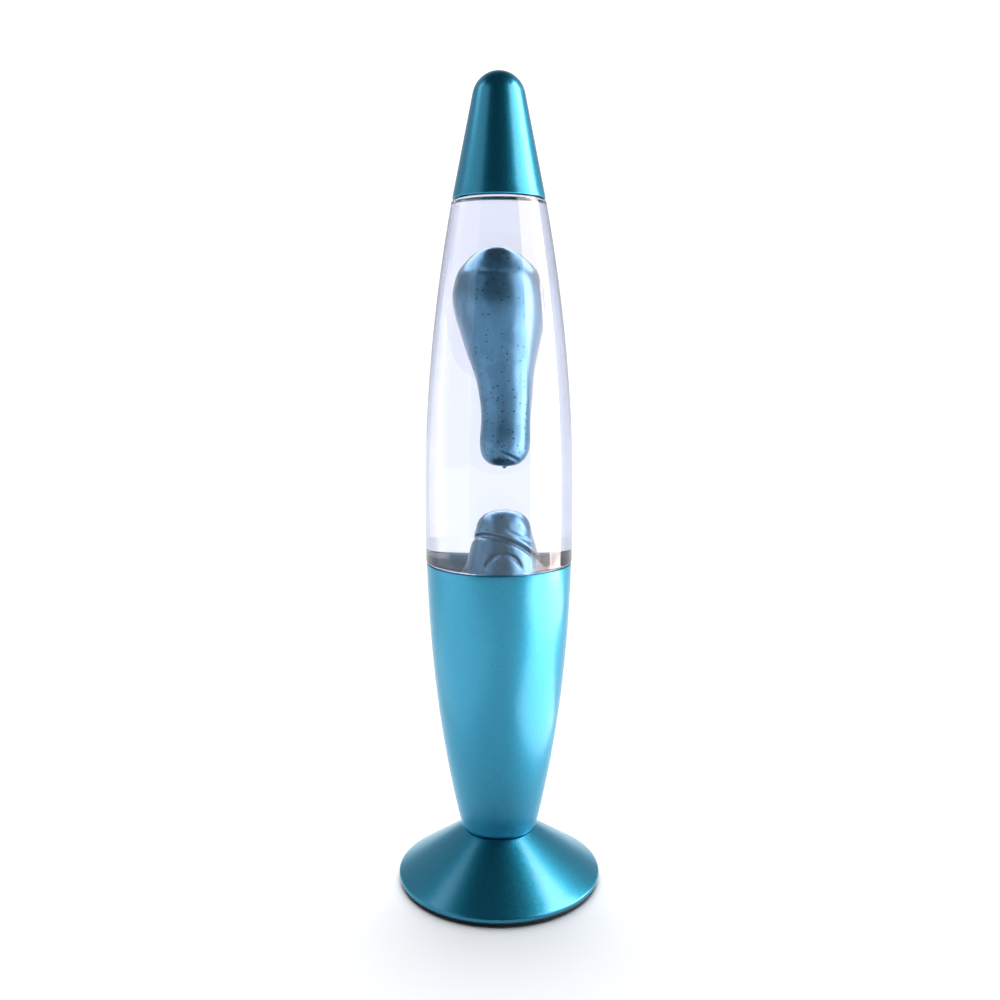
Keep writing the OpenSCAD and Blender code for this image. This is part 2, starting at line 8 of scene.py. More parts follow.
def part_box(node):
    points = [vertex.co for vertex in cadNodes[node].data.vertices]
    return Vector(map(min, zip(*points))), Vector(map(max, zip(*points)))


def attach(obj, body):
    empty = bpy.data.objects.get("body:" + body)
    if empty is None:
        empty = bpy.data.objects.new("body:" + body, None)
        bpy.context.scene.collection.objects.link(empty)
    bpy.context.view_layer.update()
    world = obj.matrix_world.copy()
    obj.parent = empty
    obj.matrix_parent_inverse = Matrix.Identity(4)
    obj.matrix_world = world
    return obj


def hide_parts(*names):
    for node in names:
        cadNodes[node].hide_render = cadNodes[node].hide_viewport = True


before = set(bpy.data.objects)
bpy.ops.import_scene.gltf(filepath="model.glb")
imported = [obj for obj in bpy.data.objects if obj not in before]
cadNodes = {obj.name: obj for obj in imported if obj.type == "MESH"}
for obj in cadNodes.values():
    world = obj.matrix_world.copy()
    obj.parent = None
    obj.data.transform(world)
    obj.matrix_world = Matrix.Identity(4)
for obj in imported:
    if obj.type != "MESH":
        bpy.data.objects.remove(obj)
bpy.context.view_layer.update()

scene = bpy.context.scene
mm = 0.001  # shapes are written in millimetres and made in metres
print("frame loaded:", len(cadNodes), "CAD nodes")


# Camera, lights and background

cameraSetup = {
    "place": (0.0005, -0.5054, 0.2714),
    "pitchDown": 8.33,
    "lens": 37.1,
}

warmTint = (1.0, 0.84, 0.78)
plainTint = (1.0, 1.0, 1.0)

# Angles run from the front of the lamp towards its right; radiance is what a mirror would show
softboxes = {
    "keySoftbox": {"angle": 68, "distance": 0.66, "width": 0.48, "low": 0.0, "high": 1.08,
                   "radiance": 4.3, "tint": warmTint},
    "keyStrip": {"angle": 96, "distance": 0.66, "width": 0.30, "low": 0.0, "high": 1.15,
                 "radiance": 10.5, "tint": warmTint},
    "fillSoftbox": {"angle": -76, "distance": 0.70, "width": 0.86, "low": 0.0, "high": 1.06,
                    "radiance": 0.8, "tint": plainTint},
    "fillTop": {"angle": -99, "distance": 0.66, "width": 0.20, "low": 0.72, "high": 1.15,
                "radiance": 1.8, "tint": plainTint},
}

# Reflector cards that lie just above the floor and brighten the sides of the cup
cardHeight = 0.004
cards = {
    "keyCardFar": {"angle": 82, "near": 0.36, "far": 0.80, "width": 0.70, "radiance": 5.6, "tint": warmTint},
    "keyCardNear": {"angle": 78, "near": 0.12, "far": 0.36, "width": 0.30, "radiance": 3.0, "tint": warmTint},
    "fillCard": {"angle": -66, "near": 0.16, "far": 0.80, "width": 0.60, "radiance": 0.45, "tint": plainTint},
}

softSun = {"lean": -30, "spread": 70, "strength": 4.6}

studio = {
    "floorColor": (0.86, 0.86, 0.87, 1),
    "floorRoughness": 0.6,
    "floorGloss": 0.2,
    "floorSize": 6,
    "backColor": (0.52, 0.53, 0.55, 1),
    "horizonColor": (1.0, 1.0, 1.02, 1),
    "frontColor": (0.03, 0.045, 0.06, 1),
    "throughGlassColor": (1.08, 1.08, 1.14, 1),
    "seenColor": (1.15, 1.15, 1.15, 1),
    "behind": (-0.1, 0.45),     # how far back a direction points where the pale part begins and is full
    "overhead": (0.95, 0.55),   # how high it points where the pale part begins and is full
    "horizon": (0.2, -0.1),     # the same for the glow near the floor
}


def addNode(tree, kind, inputs=None, **settings):
    node = tree.nodes.new(kind)
    for key, value in settings.items():
        setattr(node, key, value)
    for key, value in (inputs or {}).items():
        if isinstance(value, bpy.types.NodeSocket):
            tree.links.new(value, node.inputs[key])
        else:
            node.inputs[key].default_value = value
    return node


def addMath(tree, operation, first, second=0.5):
    return addNode(tree, "ShaderNodeMath", {0: first, 1: second}, operation=operation).outputs[0]


def addVector(tree, operation, inputs):
    return addNode(tree, "ShaderNodeVectorMath", inputs, operation=operation).outputs[0]


# How far a value lies from its middle, times an amount
def addSwing(tree, value, amount):
    return addMath(tree, "MULTIPLY", addMath(tree, "SUBTRACT", value, 0.5), amount)


# A soft step from 0 at one value to 1 at another
def addStep(tree, value, start, end):
    return addNode(tree, "ShaderNodeMapRange", {0: value, 1: start, 2: end},
                   interpolation_type="SMOOTHSTEP").outputs[0]


def addMix(tree, factor, first, second):
    return addNode(tree, "ShaderNodeMix", {0: factor, 6: first, 7: second}, data_type="RGBA").outputs[2]


def makeCamera():
    data = bpy.data.cameras.new("camera")
    data.lens = cameraSetup["lens"]
    camera = bpy.data.objects.new("camera", data)
    camera.location = cameraSetup["place"]
    camera.rotation_euler = (math.radians(90 - cameraSetup["pitchDown"]), 0, 0)
    scene.collection.objects.link(camera)
    scene.camera = camera


# Panels are seen in glossy surfaces and leave the floor to the soft sun
def makePanel(name, panel, length, away, height, tip):
    data = bpy.data.lights.new(name, "AREA")
    data.shape = "RECTANGLE"
    data.size = panel["width"]
    data.size_y = length
    data.energy = panel["radiance"] * math.pi * panel["width"] * length
    data.color = panel["tint"]
    light = bpy.data.objects.new(name, data)
    turn = math.radians(panel["angle"])
    light.location = (away * math.sin(turn), -away * math.cos(turn), height)
    light.rotation_euler = (math.radians(tip), 0, turn)
    light.visible_camera = False
    light.visible_diffuse = False
    scene.collection.objects.link(light)


def makeSoftbox(name, box):
    makePanel(name, box, box["high"] - box["low"], box["distance"], (box["low"] + box["high"]) / 2, 90)


def makeCard(name, card):
    length = card["far"] - card["near"]
    makePanel(name, card, length, card["near"] + length / 2, cardHeight, 180)


def makeSun():
    data = bpy.data.lights.new("softSun", "SUN")
    data.energy = softSun["strength"]
    data.angle = math.radians(softSun["spread"])
    light = bpy.data.objects.new("softSun", data)
    light.rotation_euler = (math.radians(softSun["lean"]), 0, 0)
    light.visible_glossy = False
    scene.collection.objects.link(light)


def makeFloor():
    bm = bmesh.new()
    bmesh.ops.create_grid(bm, x_segments=1, y_segments=1, size=studio["floorSize"] / 2)
    mesh = bpy.data.meshes.new("floor")
    bm.to_mesh(mesh)
    bm.free()
    floor = bpy.data.objects.new("floor", mesh)
    scene.collection.objects.link(floor)
    material = bpy.data.materials.new("paleFloor")
    material.use_nodes = True
    shader = material.node_tree.nodes["Principled BSDF"]
    shader.inputs["Base Color"].default_value = studio["floorColor"]
    shader.inputs["Roughness"].default_value = studio["floorRoughness"]
    shader.inputs["Specular IOR Level"].default_value = studio["floorGloss"]
    mesh.materials.append(material)


# The room is pale behind the lamp and dim in front of it and overhead
def makeRoom():
    world = bpy.data.worlds.new("studioRoom")
    world.use_nodes = True
    tree = world.node_tree
    background = tree.nodes["Background"]
    place = addNode(tree, "ShaderNodeTexCoord").outputs["Generated"]
    way = addNode(tree, "ShaderNodeSeparateXYZ", {0: place})
    behind = addStep(tree, way.outputs["Y"], *studio["behind"])
    lowDown = addStep(tree, way.outputs["Z"], *studio["overhead"])
    pale = addMath(tree, "MULTIPLY", behind, lowDown)
    room = addMix(tree, pale, studio["frontColor"], studio["backColor"])
    glow = addMath(tree, "MULTIPLY", behind, addStep(tree, way.outputs["Z"], *studio["horizon"]))
    room = addMix(tree, glow, room, studio["horizonColor"])
    path = addNode(tree, "ShaderNodeLightPath")
    bounces = addMath(tree, "ADD", path.outputs["Diffuse Depth"], path.outputs["Glossy Depth"])
    direct = addMath(tree, "LESS_THAN", bounces, 0.5)
    room = addMix(tree, direct, room, studio["throughGlassColor"])
    room = addMix(tree, path.outputs["Is Camera Ray"], room, studio["seenColor"])
    tree.links.new(room, background.inputs["Color"])
    scene.world = world


scene.view_settings.view_transform = "Standard"
makeCamera()
for name, box in softboxes.items():
    makeSoftbox(name, box)
for name, card in cards.items():
    makeCard(name, card)
makeSun()
makeFloor()
makeRoom()
print("camera, lights and floor ready")


# Node groups that several finishes share

def startGroup(name, inputs, outputs):
    group = bpy.data.node_groups.new(name, "ShaderNodeTree")
    for label, kind, value in inputs:
        socket = group.interface.new_socket(name=label, in_out="INPUT", socket_type=kind)
        socket.default_value = value
    for label, kind in outputs:
        group.interface.new_socket(name=label, in_out="OUTPUT", socket_type=kind)
    entry = group.nodes.new("NodeGroupInput")
    out = group.nodes.new("NodeGroupOutput")
    return group, entry, out


# Metallic flakes under lacquer, with faint streaks that run away from the axis
def makeFlakeGroup():
    group, entry, out = startGroup("metalFlake", [
        ("Color", "NodeSocketColor", (0.01, 0.27, 0.44, 1)),
        ("Roughness", "NodeSocketFloat", 0.34),
        ("Flakes per metre", "NodeSocketFloat", 2600.0),
        ("Flake contrast", "NodeSocketFloat", 0.3),
        ("Flake tilt", "NodeSocketFloat", 0.16),
        ("Streaks", "NodeSocketFloat", 0.08),
    ], [("Color", "NodeSocketColor"), ("Roughness", "NodeSocketFloat"), ("Normal", "NodeSocketVector")])
    place = addNode(group, "ShaderNodeTexCoord").outputs["Object"]
    flakes = addNode(group, "ShaderNodeTexVoronoi", {"Vector": place,
                                                     "Scale": entry.outputs["Flakes per metre"]})
    cell = addNode(group, "ShaderNodeSeparateColor", {0: flakes.outputs["Color"]})

    apart = addNode(group, "ShaderNodeSeparateXYZ", {0: place})
    turn = addMath(group, "ARCTAN2", apart.outputs["Y"], apart.outputs["X"])
    around = addNode(group, "ShaderNodeCombineXYZ", {
        0: addMath(group, "COSINE", turn, 0), 1: addMath(group, "SINE", turn, 0),
        2: addMath(group, "MULTIPLY", apart.outputs["Z"], 1.5)})
    streaks = addNode(group, "ShaderNodeTexNoise", {"Vector": around.outputs[0], "Scale": 26.0, "Detail": 5.0,
                                                    "Roughness": 0.65})
    clouds = addNode(group, "ShaderNodeTexNoise", {"Vector": place, "Scale": 900.0, "Detail": 2.0})

    lift = addSwing(group, cell.outputs[0], entry.outputs["Flake contrast"])
    drift = addSwing(group, streaks.outputs["Fac"], entry.outputs["Streaks"])
    mottle = addSwing(group, clouds.outputs["Fac"], 0.25)
    gain = addMath(group, "ADD", addMath(group, "ADD", lift, drift), addMath(group, "ADD", mottle, 1.0))
    evenly = addNode(group, "ShaderNodeCombineXYZ", {0: gain, 1: gain, 2: gain}).outputs[0]
    color = addVector(group, "MULTIPLY", {0: entry.outputs["Color"], 1: evenly})
    group.links.new(color, out.inputs["Color"])

    rough = addMath(group, "ADD", entry.outputs["Roughness"], addMath(group, "MULTIPLY", drift, 0.9))
    rough = addMath(group, "ADD", rough, addMath(group, "MULTIPLY", mottle, 0.3))
    group.links.new(rough, out.inputs["Roughness"])

    tilt = addVector(group, "SUBTRACT", {0: flakes.outputs["Color"], 1: (0.5, 0.5, 0.5)})
    tilt = addVector(group, "SCALE", {0: tilt, "Scale": entry.outputs["Flake tilt"]})
    straight = addNode(group, "ShaderNodeNewGeometry").outputs["Normal"]
    tilted = addVector(group, "NORMALIZE", {0: addVector(group, "ADD", {0: straight, 1: tilt})})
    group.links.new(tilted, out.inputs["Normal"])
    return group


# Even grain for plastics, rubber, plated and cast metal: fine texture, slow colour drift and handling marks
def makeGrainGroup():
    group, entry, out = startGroup("surfaceGrain", [
        ("Color", "NodeSocketColor", (0.5, 0.5, 0.5, 1)),
        ("Worn color", "NodeSocketColor", (0.6, 0.6, 0.6, 1)),
        ("Wear", "NodeSocketFloat", 0.3),
        ("Roughness", "NodeSocketFloat", 0.4),
        ("Grains per metre", "NodeSocketFloat", 1800.0),
        ("Drift per metre", "NodeSocketFloat", 60.0),
    ], [("Color", "NodeSocketColor"), ("Roughness", "NodeSocketFloat"), ("Height", "NodeSocketFloat")])
    place = addNode(group, "ShaderNodeTexCoord").outputs["Object"]
    grain = addNode(group, "ShaderNodeTexNoise", {"Vector": place, "Scale": entry.outputs["Grains per metre"],
                                                  "Detail": 3.0, "Roughness": 0.6})
    drift = addNode(group, "ShaderNodeTexNoise", {"Vector": place, "Scale": entry.outputs["Drift per metre"],
                                                  "Detail": 4.0, "Roughness": 0.55})
    patches = addStep(group, drift.outputs["Fac"], 0.42, 0.68)
    worn = addMath(group, "MULTIPLY", patches, entry.outputs["Wear"])
    color = addMix(group, worn, entry.outputs["Color"], entry.outputs["Worn color"])
    group.links.new(color, out.inputs["Color"])
    uneven = addSwing(group, drift.outputs["Fac"], 0.25)
    fine = addSwing(group, grain.outputs["Fac"], 0.12)
    rough = addMath(group, "ADD", entry.outputs["Roughness"], addMath(group, "ADD", uneven, fine))
    group.links.new(rough, out.inputs["Roughness"])
    group.links.new(grain.outputs["Fac"], out.inputs["Height"])
    return group


# Pearl wax: mica cloud, slow flow lines and small pits
def makePearlGroup():
    group, entry, out = startGroup("pearlWax", [
        ("Color", "NodeSocketColor", (0.16, 0.34, 0.50, 1)),
        ("Deep color", "NodeSocketColor", (0.06, 0.17, 0.28, 1)),
        ("Flow", "NodeSocketFloat", 0.35),
        ("Pits", "NodeSocketFloat", 0.8),
        ("Roughness", "NodeSocketFloat", 0.3),
    ], [("Color", "NodeSocketColor"), ("Roughness", "NodeSocketFloat"), ("Height", "NodeSocketFloat")])
    place = addNode(group, "ShaderNodeTexCoord").outputs["Object"]
    bent = addNode(group, "ShaderNodeTexNoise", {"Vector": place, "Scale": 55.0, "Detail": 1.0})
    stretched = addNode(group, "ShaderNodeMapping", {"Vector": place, "Scale": (1.0, 1.0, 0.3)})
    shift = addVector(group, "SCALE", {0: bent.outputs["Color"], "Scale": 0.012})
    warped = addVector(group, "ADD", {0: stretched.outputs[0], 1: shift})
    flow = addNode(group, "ShaderNodeTexNoise", {"Vector": warped, "Scale": 210.0, "Detail": 4.0,
                                                 "Roughness": 0.55})
    mica = addNode(group, "ShaderNodeTexVoronoi", {"Vector": place, "Scale": 3200.0})
    pits = addNode(group, "ShaderNodeTexVoronoi", {"Vector": place, "Scale": 480.0})
    chosen = addNode(group, "ShaderNodeSeparateColor", {0: pits.outputs["Color"]})
    pit = addMath(group, "MULTIPLY", addStep(group, pits.outputs["Distance"], 0.24, 0.14),
                  addMath(group, "GREATER_THAN", chosen.outputs[0], 0.5))
    pit = addMath(group, "MULTIPLY", pit, entry.outputs["Pits"])
    streak = addStep(group, flow.outputs["Fac"], 0.42, 0.62)
    streak = addMath(group, "MULTIPLY", streak, entry.outputs["Flow"])
    glint = addNode(group, "ShaderNodeSeparateColor", {0: mica.outputs["Color"]})
    base = addMix(group, streak, entry.outputs["Color"], entry.outputs["Deep color"])
    sparkle = addMath(group, "MULTIPLY", glint.outputs[0], 0.35)
    base = addMix(group, sparkle, base, entry.outputs["Deep color"])
    group.links.new(addMix(group, pit, base, (0.004, 0.02, 0.04, 1)), out.inputs["Color"])
    rough = addMath(group, "ADD", entry.outputs["Roughness"], addMath(group, "MULTIPLY", streak, 0.18))
    rough = addMath(group, "ADD", rough, addMath(group, "MULTIPLY", pit, 0.3))
    group.links.new(rough, out.inputs["Roughness"])
    height = addMath(group, "SUBTRACT", addMath(group, "MULTIPLY", flow.outputs["Fac"], 0.1), pit)
    group.links.new(height, out.inputs["Height"])
    return group


flakeGroup = makeFlakeGroup()
grainGroup = makeGrainGroup()
pearlGroup = makePearlGroup()


def startMaterial(name, **values):
    material = bpy.data.materials.new(name)
    material.use_nodes = True
    shader = material.node_tree.nodes["Principled BSDF"]
    for label, value in values.items():
        shader.inputs[label.replace("_", " ")].default_value = value
    return material, material.node_tree, shader


def placeGroup(tree, group, values):
    node = tree.nodes.new("ShaderNodeGroup")
    node.node_tree = group
    for label, value in values.items():
        node.inputs[label].default_value = value
    return node


def linkAll(tree, source, shader, sockets):
    for label, socket in sockets.items():
        tree.links.new(source.outputs[label], shader.inputs[socket])


def linkBump(tree, shader, height, strength, distance=0.0002):
    bump = addNode(tree, "ShaderNodeBump", {"Strength": strength, "Distance": distance, "Height": height})
    tree.links.new(bump.outputs["Normal"], shader.inputs["Normal"])


paintFinish = {
    "Color": (0.008, 0.208, 0.335, 1),
    "Roughness": 0.34,
    "Flakes per metre": 3600.0,
    "Flake contrast": 0.28,
    "Flake tilt": 0.06,
    "Streaks": 0.10,
}


def makePaint():
    material, tree, shader = startMaterial("tealPaint", Metallic=0.97, Specular_Tint=(0.3, 0.8, 0.95, 1),
                                           Coat_Weight=0.75, Coat_Roughness=0.2)
    flakes = placeGroup(tree, flakeGroup, paintFinish)
    linkAll(tree, flakes, shader, {"Color": "Base Color", "Roughness": "Roughness", "Normal": "Normal"})
    return material


# Each grainy finish: constant shader values, bump strength, then what the grain group varies
grainFinishes = {
    "blackRubber": ({"Specular_IOR_Level": 0.35}, 0.12, {
        "Color": (0.018, 0.018, 0.02, 1), "Worn color": (0.05, 0.05, 0.052, 1), "Wear": 0.35,
        "Roughness": 0.72, "Grains per metre": 2600.0, "Drift per metre": 90.0}),
    "blackPlastic": ({"Specular_IOR_Level": 0.5}, 0.06, {
        "Color": (0.022, 0.022, 0.024, 1), "Worn color": (0.045, 0.044, 0.043, 1), "Wear": 0.3,
        "Roughness": 0.42, "Grains per metre": 3200.0, "Drift per metre": 70.0}),
    "zincSteel": ({"Metallic": 1.0}, 0.05, {
        "Color": (0.60, 0.61, 0.63, 1), "Worn color": (0.50, 0.47, 0.40, 1), "Wear": 0.5,
        "Roughness": 0.34, "Grains per metre": 2200.0, "Drift per metre": 130.0}),
    "brass": ({"Metallic": 1.0}, 0.04, {
        "Color": (0.72, 0.52, 0.21, 1), "Worn color": (0.42, 0.25, 0.09, 1), "Wear": 0.45,
        "Roughness": 0.30, "Grains per metre": 2400.0, "Drift per metre": 150.0}),
    "whitePlastic": ({"Specular_IOR_Level": 0.5}, 0.05, {
        "Color": (0.80, 0.79, 0.75, 1), "Worn color": (0.66, 0.63, 0.55, 1), "Wear": 0.35,
        "Roughness": 0.38, "Grains per metre": 2800.0, "Drift per metre": 100.0}),
    "brownWire": ({"Specular_IOR_Level": 0.5}, 0.04, {
        "Color": (0.16, 0.055, 0.022, 1), "Worn color": (0.22, 0.085, 0.04, 1), "Wear": 0.4,
        "Roughness": 0.40, "Grains per metre": 1500.0, "Drift per metre": 120.0}),
    "blueWire": ({"Specular_IOR_Level": 0.5}, 0.04, {
        "Color": (0.02, 0.09, 0.42, 1), "Worn color": (0.05, 0.14, 0.48, 1), "Wear": 0.4,
        "Roughness": 0.40, "Grains per metre": 1500.0, "Drift per metre": 120.0}),
    "nickel": ({"Metallic": 1.0}, 0.03, {
        "Color": (0.63, 0.59, 0.53, 1), "Worn color": (0.48, 0.44, 0.38, 1), "Wear": 0.3,
        "Roughness": 0.22, "Grains per metre": 3000.0, "Drift per metre": 200.0}),
    "bulbMetal": ({"Metallic": 1.0}, 0.04, {
        "Color": (0.66, 0.66, 0.66, 1), "Worn color": (0.52, 0.50, 0.45, 1), "Wear": 0.45,
        "Roughness": 0.30, "Grains per metre": 2200.0, "Drift per metre": 180.0}),
    "solder": ({"Metallic": 1.0}, 0.12, {
        "Color": (0.52, 0.53, 0.55, 1), "Worn color": (0.36, 0.35, 0.34, 1), "Wear": 0.5,
        "Roughness": 0.36, "Grains per metre": 1400.0, "Drift per metre": 400.0}),
    "blackGlass": ({"Specular_IOR_Level": 0.6}, 0.02, {
        "Color": (0.012, 0.010, 0.014, 1), "Worn color": (0.03, 0.022, 0.03, 1), "Wear": 0.3,
        "Roughness": 0.12, "Grains per metre": 900.0, "Drift per metre": 300.0}),
    "tungsten": ({"Metallic": 1.0}, 0.04, {
        "Color": (0.30, 0.30, 0.31, 1), "Worn color": (0.20, 0.20, 0.21, 1), "Wear": 0.5,
        "Roughness": 0.42, "Grains per metre": 4000.0, "Drift per metre": 800.0}),
    "tinPlate": ({"Metallic": 1.0}, 0.04, {
        "Color": (0.68, 0.69, 0.70, 1), "Worn color": (0.55, 0.55, 0.55, 1), "Wear": 0.4,
        "Roughness": 0.26, "Grains per metre": 1800.0, "Drift per metre": 90.0}),
    "linerFoam": ({"Specular_IOR_Level": 0.3}, 0.2, {
        "Color": (0.80, 0.80, 0.77, 1), "Worn color": (0.70, 0.69, 0.64, 1), "Wear": 0.3,
        "Roughness": 0.66, "Grains per metre": 2400.0, "Drift per metre": 120.0}),
}


def makeGrainy(name):
    constants, bumpStrength, values = grainFinishes[name]
    material, tree, shader = startMaterial(name, **constants)
    grain = placeGroup(tree, grainGroup, values)
    linkAll(tree, grain, shader, {"Color": "Base Color", "Roughness": "Roughness"})
    linkBump(tree, shader, grain.outputs["Height"], bumpStrength)
    return material


clearColor = (0.98, 0.985, 0.995, 1)
clearShade = (0.95, 0.955, 0.975, 1)
glassFinishes = {
    # The edge colour is partly a thick wall seen side-on and partly painted shade of the dim room seen in the
    # glass edge
    "bottleGlass": {"color": clearColor, "shade": clearShade, "ior": 1.5, "roughness": 0.0, "gloss": 1.0,
                    "ripple": 0.02, "ripplesPerMetre": 28.0, "edge": (0.50, 0.53, 0.65, 1)},
    "wetGlass": {"color": clearColor, "shade": clearShade, "ior": 1.5, "roughness": 0.0, "gloss": 0.08},
    "lampLiquid": {"color": (0.785, 0.81, 0.895, 1), "shade": (0.93, 0.945, 0.99, 1), "ior": 1.33,
                   "roughness": 0.0, "gloss": 0.08},
    "stemGlass": {"color": (0.92, 0.97, 0.96, 1), "shade": (0.9, 0.95, 0.94, 1), "ior": 1.5,
                  "roughness": 0.02, "gloss": 1.0, "ripple": 0.05, "ripplesPerMetre": 300.0},
    "frostedGlass": {"color": (0.95, 0.96, 0.97, 1), "shade": (0.75, 0.76, 0.78, 1), "ior": 1.48,
                     "roughness": 0.32, "gloss": 1.0, "ripple": 0.12, "ripplesPerMetre": 2400.0},
}


# Light passes straight through, so that what stands in the glass is lit; glass against liquid hardly shines
def makeGlass(name):
    finish = glassFinishes[name]
    gloss = finish["gloss"]
    material, tree, shader = startMaterial(name, Base_Color=finish["color"], Roughness=finish["roughness"],
                                           IOR=finish["ior"], Transmission_Weight=1.0,
                                           Specular_Tint=(gloss, gloss, gloss, 1))
    if "ripple" in finish:
        place = addNode(tree, "ShaderNodeTexCoord").outputs["Object"]
        ripples = addNode(tree, "ShaderNodeTexNoise", {"Vector": place, "Scale": finish["ripplesPerMetre"],
                                                       "Detail": 1.0})
        linkBump(tree, shader, ripples.outputs["Fac"], finish["ripple"], 0.002)
    if "edge" in finish:  # a thick wall seen edge on is darker, and the darker edge is also painted shade of the dim room seen in the glass
        facing = addNode(tree, "ShaderNodeLayerWeight", {"Blend": 0.5}).outputs["Facing"]
        rim = addStep(tree, facing, 0.34, 0.64)
        tree.links.new(addMix(tree, rim, finish["color"], finish["edge"]), shader.inputs["Base Color"])
    clear = addNode(tree, "ShaderNodeBsdfTransparent", {"Color": finish["shade"]})
    path = addNode(tree, "ShaderNodeLightPath")
    both = addNode(tree, "ShaderNodeMixShader", {0: path.outputs["Is Shadow Ray"], 1: shader.outputs[0],
                                                 2: clear.outputs[0]})
    tree.links.new(both.outputs[0], tree.nodes["Material Output"].inputs["Surface"])
    return material


waxFinish = {
    "Color": (0.085, 0.215, 0.325, 1),
    "Deep color": (0.02, 0.10, 0.17, 1),
    "Flow": 0.3,
    "Pits": 0.95,
    "Roughness": 0.30,
}


def makeWax():
    material, tree, shader = startMaterial("pearlWax", Metallic=0.92, Coat_Weight=0.45, Coat_Roughness=0.18)
    pearl = placeGroup(tree, pearlGroup, waxFinish)
    linkAll(tree, pearl, shader, {"Color": "Base Color", "Roughness": "Roughness"})
    linkBump(tree, shader, pearl.outputs["Height"], 0.12)
    return material


mirrorFinish = {
    "Color": (0.78, 0.79, 0.80, 1),
    "Worn color": (0.62, 0.63, 0.66, 1),
    "Wear": 0.25,
    "Roughness": 0.10,
    "Grains per metre": 500.0,
    "Drift per metre": 60.0,
}


# Silvered inside, so the glass in front of the mirror shows as a clear coat
def makeMirror():
    material, tree, shader = startMaterial("mirroredGlass", Metallic=1.0,
                                           Coat_Weight=1.0, Coat_Roughness=0.02)
    grain = placeGroup(tree, grainGroup, mirrorFinish)
    linkAll(tree, grain, shader, {"Color": "Base Color", "Roughness": "Roughness"})
    return material


materials = {name: makeGrainy(name) for name in grainFinishes}
materials.update({name: makeGlass(name) for name in glassFinishes})
materials["tealPaint"] = makePaint()
materials["pearlWax"] = makeWax()
materials["mirroredGlass"] = makeMirror()
print("materials ready:", len(materials))


# Outlines in millimetres, as (radius, height)

lampOutline = {
    "bellyRadius": 36.4,
    "bellyHeight": 198.5,
    "upperRun": 234.5,   # height in which the outline above the belly would shrink to nothing
    "upperPower": 1.93,
    "lowerRun": 233.8,
    "lowerPower": 2.35,
}


def outlineRadius(height):
    offset = height - lampOutline["bellyHeight"]
    part = "upper" if offset > 0 else "lower"
    shrink = (abs(offset) / lampOutline[part + "Run"]) ** lampOutline[part + "Power"]
    return lampOutline["bellyRadius"] * (1 - shrink)


def glassRadius(height):
    return outlineRadius(height) if height > lampOutline["bellyHeight"] else lampOutline["bellyRadius"]


def spread(low, high, count):
    return [low + (high - low) * i / count for i in range(count + 1)]


# The points that divide a straight line into count pieces, without its ends
def between(start, end, count):
    (lowR, lowZ), (highR, highZ) = start, end
    return [(lowR + (highR - lowR) * t, lowZ + (highZ - lowZ) * t) for t in spread(0, 1, count)[1:-1]]


def arcPoints(centreR, centreZ, radius, start, end, count=8):
    turns = [math.radians(a) for a in spread(start, end, count)]
    return [(centreR + radius * math.cos(a), centreZ + radius * math.sin(a)) for a in turns]


def bendPoints(lowR, lowZ, highR, highZ, count=18):
    return [(lowR + (highR - lowR) * (1 - math.cos(math.pi * t)) / 2, lowZ + (highZ - lowZ) * t)
            for t in spread(0, 1, count)]


# A smooth curve through knots, with count pieces from each knot to the next
def curvePoints(knots, count):
    ends = [[2 * a - b for a, b in zip(*pair)] for pair in ((knots[0], knots[1]), (knots[-1], knots[-2]))]
    reach = [ends[0], *knots, ends[1]]
    points = []
    for k in range(1, len(reach) - 2):
        a, b, c, d = reach[k - 1:k + 3]
        for t in spread(0, 1, count)[:-1]:
            points.append(tuple((2 * q + (r - p) * t + (2 * p - 5 * q + 4 * r - s) * t ** 2
                                 + (3 * q - p - 3 * r + s) * t ** 3) / 2 for p, q, r, s in zip(a, b, c, d)))
    return points + [tuple(knots[-1])]


def spinOutline(points, sides, closed=True):
    bm = bmesh.new()
    verts = [bm.verts.new((r * mm, 0, z * mm)) for r, z in points]
    partners = verts[1:] + (verts[:1] if closed else [])
    edges = [bm.edges.new(pair) for pair in zip(verts, partners)]
    bmesh.ops.spin(bm, geom=verts + edges, cent=(0, 0, 0), axis=(0, 0, 1), angle=2 * math.pi,
                   steps=sides, use_merge=True)
    bmesh.ops.remove_doubles(bm, verts=bm.verts, dist=0.003 * mm)
    bmesh.ops.recalc_face_normals(bm, faces=bm.faces)
    return bm


metalSharp = 35  # faces that meet at more degrees than this keep a crisp edge


def markSharp(bm, degrees):
    limit = math.radians(degrees)
    for face in bm.faces:
        face.smooth = True
    for edge in bm.edges:
        edge.smooth = len(edge.link_faces) == 2 and edge.calc_face_angle() < limit


def makePiece(bm, name, body, slotName, finishes, *stoodFor, sharpAngle=metalSharp):
    markSharp(bm, sharpAngle)
    mesh = bpy.data.meshes.new(name)
    bm.to_mesh(mesh)
    bm.free()
    for finish in finishes:
        mesh.materials.append(materials[finish])
    piece = bpy.data.objects.new(name, mesh)
    scene.collection.objects.link(piece)
    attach(piece, body)
    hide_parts(*stoodFor)
    print(f"{name}: {len(mesh.polygons)} faces")
    return piece


# Foot: a spun cone with a rolled hem, and a hole for the cord at the back

footLow, footHigh = (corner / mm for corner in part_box("foot"))

footShape = {
    "rimRadius": footHigh.x,
    "top": footHigh.z,
    "base": footLow.z,
    "hemRadius": 1.2,
    "hemHeight": 3.66,
    "hemWidth": 6.3,
    "topEdge": 2.0,
    "topRadius": outlineRadius(footHigh.z) + 0.5,
    "sheet": 0.9,
    "tubeHole": 5.05,
    "cordHole": 5.0,
    "cordHeight": 9.4,
    "cordInset": 9.0,         # from the rim to the middle of the cut for the cord
    "cordCut": 30.0,
    "sides": 192,
}


